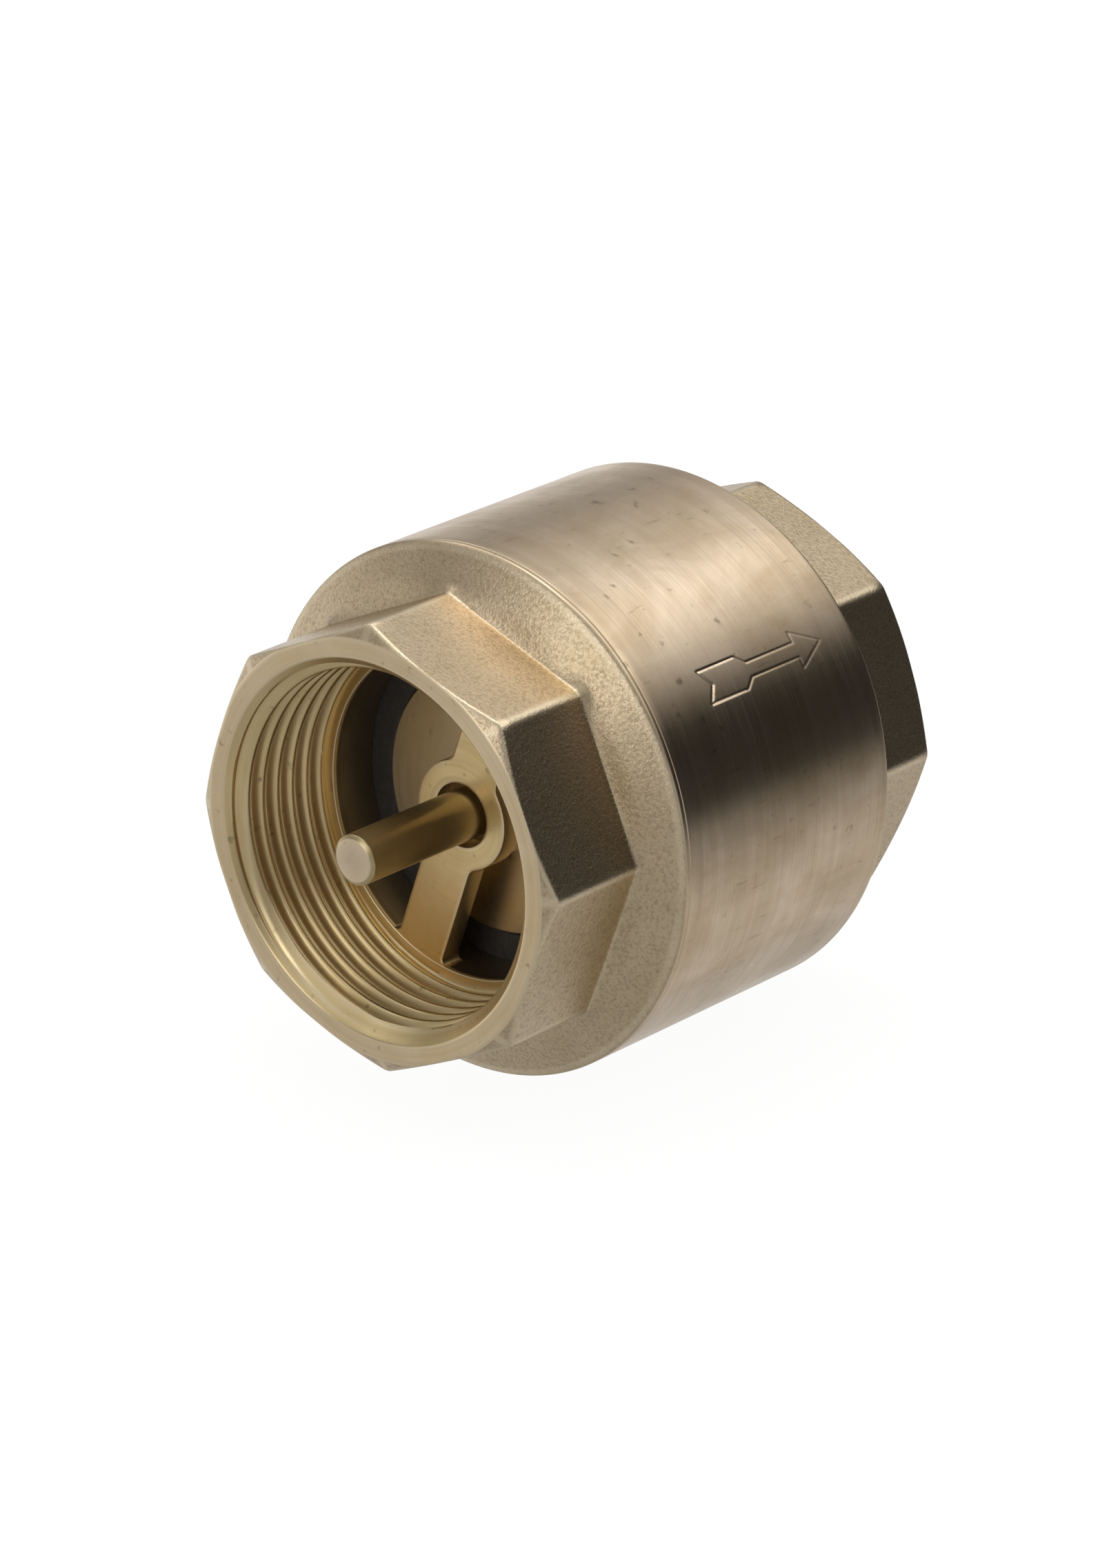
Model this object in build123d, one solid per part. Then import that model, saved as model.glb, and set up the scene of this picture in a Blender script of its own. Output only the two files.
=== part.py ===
from build123d import *
import math
import os

# In-line spring check valve, DN32, female G 1 1/4 at both ends.
# Millimetres. X is the flow axis and points from the inlet to the outlet, +Z is up, and the
# origin is on the axis, midway between the two end faces.
os.makedirs("parts", exist_ok=True)

# ---- overall stations along the flow axis ----
HALF_LENGTH = 32.0
BARREL_R = 30.0
INLET_RIM_X = -16.0  # outer edge of the inlet shoulder cone
CAP_FACE_X = -15.4  # face where the inlet cap bottoms on the body
OUTLET_RIM_X = 18.0  # outer edge of the outlet shoulder cone
SHOULDER_SLOPE = math.tan(math.radians(30))  # axial run per unit of radius
BARREL_CHAMFER = 0.35
CONE_INNER_R = 22.5  # the shoulder cone ends inside the octagon

# ---- wrench octagons ----
ACROSS_FLATS = 47.0
CORNER_FILLET = 1.2
FACE_OUTLINE_R = 23.7  # the end face is turned round, cutting the corners at 30 degrees
INLET_CORNER_DEG = 43.0
OUTLET_CORNER_DEG = 47.3

# ---- pipe threads, Whitworth form, modelled as rings ----
PIPE_MAJOR_R = 20.955
INLET_CREST_R, OUTLET_CREST_R = 19.70, 19.476  # both inside the thread's tolerance
PIPE_PITCH = 2.309
PIPE_HALF_ANGLE = 27.5
PIPE_RINGS = 5
MOUTH_R = 21.5
MOUTH_DEPTH = 0.9
THREAD_DEPTH = 14.0  # from the end face to the end of the thread

# ---- thread between the cap and the body, M54 x 1.5 ----
JOINT_MAJOR_R = 27.0
JOINT_MINOR_R = 26.19
JOINT_PITCH = 1.5
JOINT_HALF_ANGLE = 30.0
JOINT_RINGS = 5
JOINT_START_X = -12.4
JOINT_CLEARANCE = 0.08
SPIGOT_END_X = -4.9
GLAND_END_X = -12.6
GLAND_INNER_R = 26.0
GLAND_OUTER_R = 28.0
RING_SECTION_R = 0.99

# ---- waterway ----
BORE_R = 18.5
SEAT_X = -11.8
SEAT_LAND = 1.2
SEAT_HEIGHT = 1.2
SEAT_POCKET_R = 24.0
CHAMBER_R = 26.0
CHAMBER_START_X = -4.7
CHAMBER_END_X = 7.6
THROAT_X = 14.6

# ---- guide bridges ----
ARM_WIDTH = 6.5
ARM_FILLET = 1.6
ARM_END_R = 19.6  # the inlet arms end inside the wall
HUB_R = 6.25
INLET_HUB_BORE_R = 3.6
OUTLET_HUB_BORE_R = 2.95
INLET_ARM_DEG = 109.5
OUTLET_ARM_DEG = 114.8
INLET_ARM_X = (-17.95, -15.2)
OUTLET_ARM_X = (11.0, 14.4)
OUTLET_BOSS_X = (9.5, 15.2)  # its front face stops the stem's shoulder
OUTLET_BOSS_R = 5.9

# ---- poppet ----
LIFT = 8.0
STEM_R = 2.85
STEM_TIP_X = -34.9
STEM_TAIL_X = 17.9
STEM_CHAMFER = 0.35
STEM_SHOULDER_R = 4.2
STEM_THREAD_R = 2.95
STEM_THREAD_ROOT_R = 2.55
STEM_THREAD_PITCH = 0.75
STEM_THREAD_X = (-14.6, -11.3)
PLATE_R = 15.1
PLATE_X = (-12.3, -10.8)
SEAL_R = 20.8
SEAL_HOLE_R = 5.05
SEAL_BACK_X = -8.8
SEAL_RECESS_R = 15.3
DISC_R = 21.0
DISC_BACK_X = -6.3
DISC_BOSS_R = 4.95
DISC_HOLE_R = 3.0
SPRING_BOSS_R = 6.8
SPRING_BOSS_X = -4.8
NUT_ACROSS_FLATS = 10.0
NUT_FRONT_X = -14.4
NUT_HOLE_R = 3.0

# ---- return spring ----
SPRING_MEAN_R = 8.2
WIRE_R = 0.6
END_COILS = 1.0
ACTIVE_COILS = 4.0
GROUND_DEPTH = 0.2
POINTS_PER_COIL = 16

# ---- flow arrow engraved in outline on the barrel ----
ARROW_DEG = 144.5
ARROW_TAIL_X = -6.6
ARROW_BLOCK_X = -0.6
ARROW_SHAFT_X = 8.6
ARROW_TIP_X = 12.6
ARROW_BLOCK_HALF = 1.9
ARROW_SHAFT_HALF = 0.85
ARROW_HEAD_HALF = 2.1
ARROW_NOTCH = 1.3
GROOVE_WIDTH = 0.3
GROOVE_DEPTH = 0.22


def about_axis(points):
    """Solid of revolution about X from (x, radius) points that close along the axis."""
    outline = make_face(Polyline([(x, r) for x, r in points], close=True))
    return revolve(Plane.XY * outline, axis=Axis.X)


def filled(points):
    """Solid of revolution from an outer outline, closed on the axis."""
    return about_axis([(points[0][0], 0), *points, (points[-1][0], 0)])


def rod(x_start, x_end, radius):
    """Plain cylinder along X."""
    return filled([(x_start, radius), (x_end, radius)])


def along_x(sketch, x_start, x_end):
    """Prism along X from a sketch whose local axes are Y and Z."""
    return extrude(Plane.YZ.offset(x_start) * sketch, amount=x_end - x_start)


def ring_grooves(x_start, count, land_r, groove_r, pitch, half_angle):
    """(x, radius) points of a run of V grooves, one per pitch, with equal lands and roots."""
    flank = abs(groove_r - land_r) * math.tan(math.radians(half_angle))
    flat = (pitch - 2 * flank) / 2
    points = []
    for turn in range(count):
        x = x_start + turn * pitch + flat / 2
        points += [(x, land_r), (x + flank, groove_r)]
        points += [(x + flank + flat, groove_r), (x + 2 * flank + flat, land_r)]
    return points


def mirrored(points, sign):
    """Points written for the inlet end, or the same ones mirrored to the outlet end."""
    return points if sign < 0 else [(-x, r) for x, r in reversed(points)]


def wrench_end(sign, corner_deg, rim_x):
    """Octagon with rounded corners, turned end face and the cone that carries it to the barrel."""
    corner_r = ACROSS_FLATS / 2 / math.cos(math.pi / 8)
    octagon = RegularPolygon(corner_r, 8, rotation=corner_deg)
    octagon = fillet(octagon.vertices(), CORNER_FILLET)
    prism = along_x(octagon, sign * HALF_LENGTH, rim_x)
    face_run = (corner_r - FACE_OUTLINE_R) * SHOULDER_SLOPE
    turned = [
        (-HALF_LENGTH, FACE_OUTLINE_R),
        (-HALF_LENGTH + face_run, corner_r),
        (-abs(rim_x), corner_r),
    ]
    prism &= filled(mirrored(turned, sign))
    run = (BARREL_R - CONE_INNER_R) * SHOULDER_SLOPE
    cone = filled(mirrored([(-abs(rim_x) - run, CONE_INNER_R), (-abs(rim_x), BARREL_R)], sign))
    return prism + cone


def pipe_thread_bore(sign, crest_r):
    """Space of one female pipe thread with its chamfered mouth."""
    thread_end = -HALF_LENGTH + THREAD_DEPTH
    first = thread_end - PIPE_RINGS * PIPE_PITCH
    points = [(-HALF_LENGTH - 1, MOUTH_R), (-HALF_LENGTH, MOUTH_R)]
    points += [(-HALF_LENGTH + MOUTH_DEPTH, MOUTH_R - MOUTH_DEPTH), (first, crest_r)]
    points += ring_grooves(first, PIPE_RINGS, crest_r, PIPE_MAJOR_R, PIPE_PITCH, PIPE_HALF_ANGLE)
    points += [(thread_end, crest_r)]
    return filled(mirrored(points, sign))


def bridge(arm_deg, arm_x, wall_r, bore_r):
    """Two arms across the waterway with a round hub that guides the stem."""
    bar = Rot(0, 0, arm_deg) * Rectangle(2 * wall_r, ARM_WIDTH)
    web = bar + Circle(HUB_R)
    inside = [v for v in web.vertices() if v.center().length < HUB_R + 1]
    web = fillet(inside, ARM_FILLET)
    return along_x(web, *arm_x) - rod(arm_x[0] - 1, arm_x[1] + 1, bore_r)


def flow_arrow():
    """Thin outline of an arrow that points downstream, following the barrel's surface."""
    outline = Polyline(
        (ARROW_TAIL_X, ARROW_BLOCK_HALF),
        (ARROW_BLOCK_X, ARROW_BLOCK_HALF),
        (ARROW_BLOCK_X + ARROW_NOTCH, ARROW_SHAFT_HALF),
        (ARROW_SHAFT_X, ARROW_SHAFT_HALF),
        (ARROW_SHAFT_X, ARROW_HEAD_HALF),
        (ARROW_TIP_X, 0),
        (ARROW_SHAFT_X, -ARROW_HEAD_HALF),
        (ARROW_SHAFT_X, -ARROW_SHAFT_HALF),
        (ARROW_BLOCK_X + ARROW_NOTCH, -ARROW_SHAFT_HALF),
        (ARROW_BLOCK_X, -ARROW_BLOCK_HALF),
        (ARROW_TAIL_X, -ARROW_BLOCK_HALF),
        (ARROW_TAIL_X + ARROW_NOTCH, 0),
        close=True,
    )
    shape = make_face(outline)
    line = shape - offset(shape, -GROOVE_WIDTH)
    stamp = Rot(ARROW_DEG - 90, 0, 0) * extrude(Pos(0, 0, BARREL_R - 2) * line, 4)
    skin = rod(ARROW_TAIL_X - 1, ARROW_TIP_X + 1, BARREL_R + 1)
    skin -= rod(ARROW_TAIL_X - 2, ARROW_TIP_X + 2, BARREL_R - GROOVE_DEPTH)
    return stamp & skin


def make_main_body():
    """Barrel and outlet end in one piece, with the outlet bridge inside."""
    barrel = filled([
        (CAP_FACE_X, BARREL_R - BARREL_CHAMFER),
        (CAP_FACE_X + BARREL_CHAMFER, BARREL_R),
        (OUTLET_RIM_X - BARREL_CHAMFER, BARREL_R),
        (OUTLET_RIM_X, BARREL_R - BARREL_CHAMFER),
    ])
    outside = barrel + wrench_end(1, OUTLET_CORNER_DEG, OUTLET_RIM_X)
    inside = [(CAP_FACE_X - 1, GLAND_OUTER_R), (GLAND_END_X, GLAND_OUTER_R)]
    land_r, groove_r = JOINT_MINOR_R + JOINT_CLEARANCE, JOINT_MAJOR_R + JOINT_CLEARANCE
    inside += [(GLAND_END_X, land_r)]
    inside += ring_grooves(
        JOINT_START_X, JOINT_RINGS, land_r, groove_r, JOINT_PITCH, JOINT_HALF_ANGLE)
    inside += [(CHAMBER_START_X, land_r)]
    inside += [(CHAMBER_START_X, CHAMBER_R), (CHAMBER_END_X, CHAMBER_R)]
    inside += [(THROAT_X, BORE_R), (HALF_LENGTH - THREAD_DEPTH, BORE_R)]
    body = outside - filled(inside) - pipe_thread_bore(1, OUTLET_CREST_R)
    web = bridge(OUTLET_ARM_DEG, OUTLET_ARM_X, CHAMBER_R, OUTLET_HUB_BORE_R)
    boss = rod(*OUTLET_BOSS_X, OUTLET_BOSS_R) - rod(0, THROAT_X + 2, OUTLET_HUB_BORE_R)
    return body + web + boss - flow_arrow()


def make_inlet_cap():
    """Inlet end with the valve seat, the inlet bridge and the spigot that screws in."""
    flange = rod(INLET_RIM_X, CAP_FACE_X, BARREL_R)
    spigot = [(CAP_FACE_X, GLAND_INNER_R), (GLAND_END_X, GLAND_INNER_R)]
    spigot += [(GLAND_END_X, JOINT_MINOR_R)]
    spigot += ring_grooves(
        JOINT_START_X, JOINT_RINGS, JOINT_MINOR_R, JOINT_MAJOR_R, JOINT_PITCH,
        JOINT_HALF_ANGLE)
    spigot += [(SPIGOT_END_X, JOINT_MINOR_R)]
    outside = wrench_end(-1, INLET_CORNER_DEG, INLET_RIM_X) + flange + filled(spigot)
    lip_r = BORE_R + SEAT_LAND
    inside = [(-HALF_LENGTH + THREAD_DEPTH, BORE_R), (SEAT_X, BORE_R), (SEAT_X, lip_r)]
    inside += [(SEAT_X - SEAT_HEIGHT, lip_r + SEAT_HEIGHT / 2)]
    inside += [(SEAT_X - SEAT_HEIGHT, SEAT_POCKET_R), (SPIGOT_END_X + 1, SEAT_POCKET_R)]
    cap = outside - filled(inside) - pipe_thread_bore(-1, INLET_CREST_R)
    return cap + bridge(INLET_ARM_DEG, INLET_ARM_X, ARM_END_R, INLET_HUB_BORE_R)


def make_body_ring():
    """Round-section ring that seals the cap to the body."""
    centre_x = (CAP_FACE_X + GLAND_END_X) / 2
    centre_r = (GLAND_INNER_R + GLAND_OUTER_R) / 2
    return Pos(centre_x, 0, 0) * Rot(0, 90, 0) * Torus(centre_r, RING_SECTION_R)


def make_stem():
    """Turned rod, guided at both ends, threaded for the lock nut, with a stop shoulder."""
    points = [(STEM_TIP_X, STEM_R - STEM_CHAMFER), (STEM_TIP_X + STEM_CHAMFER, STEM_R)]
    points += [(STEM_THREAD_X[0], STEM_R), (STEM_THREAD_X[0], STEM_THREAD_R)]
    rings = int((STEM_THREAD_X[1] - STEM_THREAD_X[0]) / STEM_THREAD_PITCH)
    points += ring_grooves(
        STEM_THREAD_X[0], rings, STEM_THREAD_R, STEM_THREAD_ROOT_R, STEM_THREAD_PITCH,
        JOINT_HALF_ANGLE)
    stop_x = OUTLET_BOSS_X[0] - LIFT
    points += [(SPRING_BOSS_X, STEM_THREAD_R), (SPRING_BOSS_X, STEM_SHOULDER_R)]
    points += [(stop_x - STEM_CHAMFER, STEM_SHOULDER_R), (stop_x, STEM_SHOULDER_R - STEM_CHAMFER)]
    points += [(stop_x, STEM_R), (STEM_TAIL_X - STEM_CHAMFER, STEM_R)]
    points += [(STEM_TAIL_X, STEM_R - STEM_CHAMFER)]
    return filled(points)


def make_poppet_disc():
    """Backing disc with a front boss for the clamp plate and a rear boss for the spring."""
    disc = filled([
        (PLATE_X[1], DISC_BOSS_R),
        (SEAL_BACK_X, DISC_BOSS_R),
        (SEAL_BACK_X, DISC_R - STEM_CHAMFER),
        (SEAL_BACK_X + STEM_CHAMFER, DISC_R),
        (DISC_BACK_X - 1, DISC_R),
        (DISC_BACK_X, DISC_R - 1),
        (DISC_BACK_X, SPRING_BOSS_R),
        (SPRING_BOSS_X - STEM_CHAMFER, SPRING_BOSS_R),
        (SPRING_BOSS_X, SPRING_BOSS_R - STEM_CHAMFER),
    ])
    return disc - rod(PLATE_X[0], 0, DISC_HOLE_R)


def make_seat_seal():
    """Rubber disc with a recess for the clamp plate; its outer band closes on the seat."""
    seal = rod(SEAT_X, SEAL_BACK_X, SEAL_R) - rod(SEAT_X - 1, 0, SEAL_HOLE_R)
    return seal - rod(SEAT_X - 1, PLATE_X[1], SEAL_RECESS_R)


def make_seal_plate():
    """Round plate that clamps the rubber."""
    plate = filled([
        (PLATE_X[0], PLATE_R - STEM_CHAMFER),
        (PLATE_X[0] + STEM_CHAMFER, PLATE_R),
        (PLATE_X[1], PLATE_R),
    ])
    return plate - rod(PLATE_X[0] - 1, 0, DISC_HOLE_R)


def make_lock_nut():
    """Thin hexagon nut on the upstream side of the plate, its corners turned off in front."""
    corner_r = NUT_ACROSS_FLATS / 2 / math.cos(math.pi / 6)
    nut = along_x(RegularPolygon(corner_r, 6), NUT_FRONT_X, PLATE_X[0])
    turned = filled([
        (NUT_FRONT_X, NUT_ACROSS_FLATS / 2),
        (NUT_FRONT_X + (corner_r - NUT_ACROSS_FLATS / 2) * SHOULDER_SLOPE, corner_r),
        (PLATE_X[0], corner_r),
    ])
    return (nut & turned) - rod(NUT_FRONT_X - 1, 0, NUT_HOLE_R)


def make_return_spring():
    """Compression spring with closed, ground ends, between the disc and the outlet arms."""
    front = DISC_BACK_X + WIRE_R - GROUND_DEPTH
    back = OUTLET_ARM_X[0] - WIRE_R + GROUND_DEPTH
    end_rise = END_COILS * 2 * WIRE_R
    coils = 2 * END_COILS + ACTIVE_COILS
    steps = int(coils * POINTS_PER_COIL)
    points = []
    for step in range(steps + 1):
        turn = coils * step / steps
        if turn <= END_COILS:
            x = front + end_rise * turn / END_COILS
        elif turn >= coils - END_COILS:
            x = back - end_rise * (coils - turn) / END_COILS
        else:
            share = (turn - END_COILS) / ACTIVE_COILS
            x = front + end_rise + (back - front - 2 * end_rise) * share
        angle = 2 * math.pi * turn
        points.append((x, SPRING_MEAN_R * math.cos(angle), SPRING_MEAN_R * math.sin(angle)))
    path = Spline(*points)
    wire = sweep(Plane(path @ 0, z_dir=path % 0) * Circle(WIRE_R), path=path)
    return wire & rod(DISC_BACK_X, OUTLET_ARM_X[0], SPRING_MEAN_R + 2 * WIRE_R)


PARTS = {
    "main_body": make_main_body,
    "inlet_cap": make_inlet_cap,
    "body_seal_ring": make_body_ring,
    "stem": make_stem,
    "poppet_disc": make_poppet_disc,
    "seat_seal": make_seat_seal,
    "seal_plate": make_seal_plate,
    "lock_nut": make_lock_nut,
    "return_spring": make_return_spring,
}

for name, make in PARTS.items():
    export_step(make(), f"parts/{name}.step")
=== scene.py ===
import math

import bpy
import numpy as np
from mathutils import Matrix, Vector


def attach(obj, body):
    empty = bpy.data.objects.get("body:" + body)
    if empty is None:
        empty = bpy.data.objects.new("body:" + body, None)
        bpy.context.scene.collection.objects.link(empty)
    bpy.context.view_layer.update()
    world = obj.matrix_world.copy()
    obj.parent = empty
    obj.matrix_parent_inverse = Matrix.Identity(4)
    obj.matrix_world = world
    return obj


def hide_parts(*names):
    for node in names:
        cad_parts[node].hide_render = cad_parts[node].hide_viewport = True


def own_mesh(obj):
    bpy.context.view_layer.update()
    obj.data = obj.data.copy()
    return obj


# Looks of the check valve. The meshes are worked out in millimetres in the CAD frame and written
# in metres: X is the flow axis, +Z is up, and t is the angle about X from +Y towards +Z.
MM = 0.001
EIGHTH = math.pi / 4
SHARP_ANGLE = math.radians(35)  # edges that turn more than this are shaded sharp

# ---- sizes of the two brass halves ----
HALF_LENGTH = 32.0
BARREL_R = 30.0
INLET_RIM_X, SEAM_X, OUTLET_RIM_X = -16.0, -15.4, 18.0
SHOULDER_X, SHOULDER_BASE_R = -18.66, 24.3
SHOULDER_EDGE_X = -16.15  # last station of the shoulder
RIM_WEAR_AND_HIGHLIGHT_X = -16.5  # from here on the shoulder's rim is pale all round: partly rubbed wear, partly a painted highlight
SHIFT_FROM_X, SHIFT_TO_X = -24.0, -20.0  # the outlet's flats are shortened between these stations
FACE_EDGE_X, FACE_EDGE = -31.93, 0.12  # where the face's outer edge is broken, and by how much
FACE_SLOPE = math.tan(math.radians(60))
FLAT_R = 23.5
CORNER_FILLET = 1.3
FACE_OUTLINE_R = 23.65
FACE_BLEND, SHOULDER_BLEND, MOUTH_BLEND = 0.45, 0.35, 0.12  # widths of the softened creases
INLET_CORNER, OUTLET_CORNER = math.radians(43.0), math.radians(47.3)
MOUTH_R, BORE_R = 21.5, 18.5

# ---- threads: the pipe threads and the one that joins the halves ----
THREAD_END_X = -18.0
INLET_CREST_R, OUTLET_CREST_R, THREAD_ROOT_R, PITCH = 19.70, 19.476, 20.94, 2.309
THREAD_RUN_OUT = 0.8  # length over which the pipe thread's depth fades at its inner end
JOINT_PITCH, JOINT_DEPTH, JOINT_STEP = 1.5, 0.75, 0.2
CAP_THREAD_R, BARREL_THREAD_R = 26.2, 26.3
CAP_THREAD_SPAN, BARREL_THREAD_SPAN = (-12.3, -5.2), (-12.5, -4.8)

# ---- turned outlines as (x, r), in the order they are walked ----
CAP_SEAM = [(INLET_RIM_X, 29.88), (-15.8, BARREL_R), (SEAM_X - 0.07, BARREL_R), (SEAM_X, 29.93),
            (SEAM_X, 26.0), (-12.6, 26.0), (-12.4, CAP_THREAD_R)]
CAP_INSIDE = [(-5.1, CAP_THREAD_R), (-4.9, 26.1), (-4.9, 24.1), (-5.05, 24.0), (-13.0, 24.0),
              (-13.0, 20.3), (-11.8, 19.7), (-11.8, BORE_R), (-17.4, BORE_R)]
CAP_LEDGE = [(-17.5, BORE_R), (THREAD_END_X, BORE_R), (THREAD_END_X, 18.9)]
BARREL_SEAM = [(SEAM_X, 28.2), (SEAM_X, 29.88), (SEAM_X + 0.12, BARREL_R), (SEAM_X + 1.0, BARREL_R)]
BARREL_RIM = [(17.2, BARREL_R), (17.75, BARREL_R), (OUTLET_RIM_X, 29.8), (18.06, 29.75)]
BARREL_INSIDE = [(-THREAD_END_X, 18.9), (-THREAD_END_X, BORE_R), (14.6, BORE_R), (7.6, 26.0),
                 (-4.7, 26.0), (-4.7, BARREL_THREAD_R)]
BARREL_SOCKET = [(-12.6, BARREL_THREAD_R), (-12.6, 28.0), (SEAM_X, 28.0)]
OUTLET_BOSS = [(9.5, 4.4), (9.5, 5.9), (15.2, 5.9), (15.2, 2.95), (9.5, 2.95), (9.5, 4.3)]
STEM = [(-34.9, 0.6), (-34.9, 2.35), (-34.6, 2.85), (-14.6, 2.85), (-14.5, 2.95), (-4.8, 2.95),
        (-4.8, 4.2), (1.2, 4.2), (1.45, 3.95), (1.45, 2.85), (17.6, 2.85), (17.9, 2.5), (17.9, 0.5)]
CLAMP_PLATE = [(-12.3, 3.0), (-12.3, 15.1), (-10.8, 15.1), (-10.8, 3.0), (-12.3, 3.0)]
RUBBER_SEAL = [(-10.8, 5.05), (-10.8, 15.3), (-11.8, 15.3), (-11.8, 20.8), (-8.8, 20.8),
               (-8.8, 5.05), (-10.8, 5.05)]
BACKING_DISC = [(-10.8, 3.0), (-10.8, 4.95), (-8.8, 4.95), (-8.8, 21.0), (-6.9, 21.0), (-6.3, 20.0),
                (-6.3, 6.8), (-4.8, 6.8), (-4.8, 3.0), (-10.8, 3.0)]
STEM_ENDS_X = (-34.75, 17.75)  # beyond these the stem shows its cut faces
LATHE_SIDES, BOSS_SIDES = 160, 96

# ---- inside ----
ARM_HALF, HUB_R, ARM_FILLET, WALL_FLARE = 3.25, 6.25, 1.6, 0.7
ROOT_DEPTH = 0.5  # how far the arms reach into the wall
INLET_ARM, OUTLET_ARM = math.radians(109.5), math.radians(114.8)
INLET_BRIDGE_X, OUTLET_BRIDGE_X = (-17.95, -15.2), (11.0, 14.4)
INLET_HUB_BORE_R, OUTLET_HUB_BORE_R = 3.6, 2.95
OUTLET_ARM_R = 22.4
HOLE_SIDES, SOFT_EDGE = 64, 0.22
LEAST_INSET = 0.02  # share of the soft edge kept inside the wall, so that no face collapses
SPRING_FRONT_X, SPRING_BACK_X = -6.3, 11.0  # back of the disc, front of the outlet arms
WIRE_R, COIL_R, CLOSED_RISE, ACTIVE_TURNS = 0.6, 8.2, 1.2, 4
WIRE_SIDES, COIL_STEPS = 20, 48
GROUND, END_GAP = 0.01, 0.02  # clearances at the spring's ends: of the ground faces, of the wire

# ---- flow arrow: outline as (along X, around the barrel), and how much of its depth is left ----
ARROW_T = math.radians(144.5)
ARROW_SECTOR = 0.085
ARROW_TAIL_X, ARROW_TIP_X = -6.6, 12.6
ARROW = [(ARROW_TAIL_X, 1.9), (-0.6, 1.9), (0.7, 0.85), (8.6, 0.85), (8.6, 2.1), (ARROW_TIP_X, 0.0),
         (8.6, -2.1), (8.6, -0.85), (0.7, -0.85), (-0.6, -1.9), (ARROW_TAIL_X, -1.9), (-5.3, 0.0)]
ARROW_LEFT = [(ARROW_TAIL_X, 1.0), (0.0, 0.6), (ARROW_TIP_X, 0.18)]
GROOVE_HALF, GROOVE_DEPTH, LIP = 0.2, 0.10, 0.12
ENGRAVED_X = (-7.2, 13.1)  # the barrel's stations are close together between these

# ---- studio, as the metal mirrors it: level by height (-1 below to 1 above) on three sides ----
LEFT_SIDE = [(-1.0, 0.38), (-0.4, 0.48), (0.0, 0.42), (0.35, 0.27), (0.5, 0.30), (0.70, 0.62)]
FAR_SIDE = [(-1.0, 0.45), (-0.6, 0.60), (-0.1, 0.90), (0.10, 0.60), (0.26, 0.35), (0.42, 0.34),
            (0.56, 0.54), (0.66, 0.78), (0.71, 1.35)]
NEAR_SIDE = [(-1.0, 0.46), (-0.6, 0.60), (-0.38, 0.42), (-0.2, 0.22), (-0.07, 0.03), (0.35, 0.012),
             (0.42, 0.09), (0.54, 0.40), (0.64, 0.84), (0.70, 1.6)]
NEAR_WAY, FAR_WAY = (0.72, -0.69, 0.0), (0.30, 0.95, 0.0)
STUDIO_TINT = (1.0, 0.985, 0.96)


# ======== shape helpers ========

def soft_min(a, b, k):
    """Smaller of a and b with a rounded changeover of width k, and how near the changeover is."""
    h = np.clip(0.5 + 0.5 * (b - a) / k, 0, 1)
    return b * (1 - h) + a * h - k * h * (1 - h), 4 * h * (1 - h)


def soft_max(a, b, k):
    low, near = soft_min(-a, -b, k)
    return -low, near


def octagon_radius(t, corner):
    """Distance from the axis to a filleted octagon's side at angle t, and how near a corner is."""
    off = (t - corner) % EIGHTH
    off = np.minimum(off, EIGHTH - off)  # 0 at a corner, a sixteenth turn at a flat's middle
    flat = FLAT_R / np.cos(EIGHTH / 2 - off)
    centre = (FLAT_R - CORNER_FILLET) / math.cos(EIGHTH / 2)
    inside = np.clip(CORNER_FILLET ** 2 - (centre * np.sin(off)) ** 2, 0, None)
    rounded = centre * np.cos(off) + np.sqrt(inside)
    start = EIGHTH / 2 - math.atan(math.tan(EIGHTH / 2) * (1 - CORNER_FILLET / FLAT_R))
    near = np.clip(1.6 - off / start, 0, 1)
    return np.where(off < start, rounded, flat), near


def spread(start, stop, step):
    """Even stations from start towards stop, stop left out."""
    count = max(1, int(math.ceil(abs(stop - start) / step)))
    return [start + (stop - start) * i / count for i in range(count)]


def angles(corner, fine=None):
    """Angles round the axis: close together at the octagon's corners and in the fine sector."""
    reach, close, wide, finest = 0.03, 0.0062, 0.0262, 0.0036
    out = []
    for side in range(8):
        at = corner + side * EIGHTH
        out += spread(at - reach, at + reach, close)
        out += spread(at + reach, at + EIGHTH - reach, wide)
    out = np.sort(np.array(out) % (2 * math.pi))
    if fine:
        out = out[(out < fine[0]) | (out > fine[1])]
        out = np.sort(np.concatenate([out, np.arange(fine[0], fine[1], finest)]))
    return out


def rounded(points, radius):
    """An open outline of (x, r) points with its inner corners rounded."""
    steps = 3
    out = [np.array(points[0], float)]
    for before, at, after in zip(points, points[1:], points[2:]):
        before, at, after = (np.array(p, float) for p in (before, at, after))
        a, b = before - at, after - at
        la, lb = np.linalg.norm(a), np.linalg.norm(b)
        cut = min(radius, la * 0.45, lb * 0.45)
        p, q = at + a / la * cut, at + b / lb * cut
        for i in range(steps + 1):
            s = i / steps
            out.append(p * (1 - s) ** 2 + at * 2 * s * (1 - s) + q * s * s)
    out.append(np.array(points[-1], float))
    return out


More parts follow.
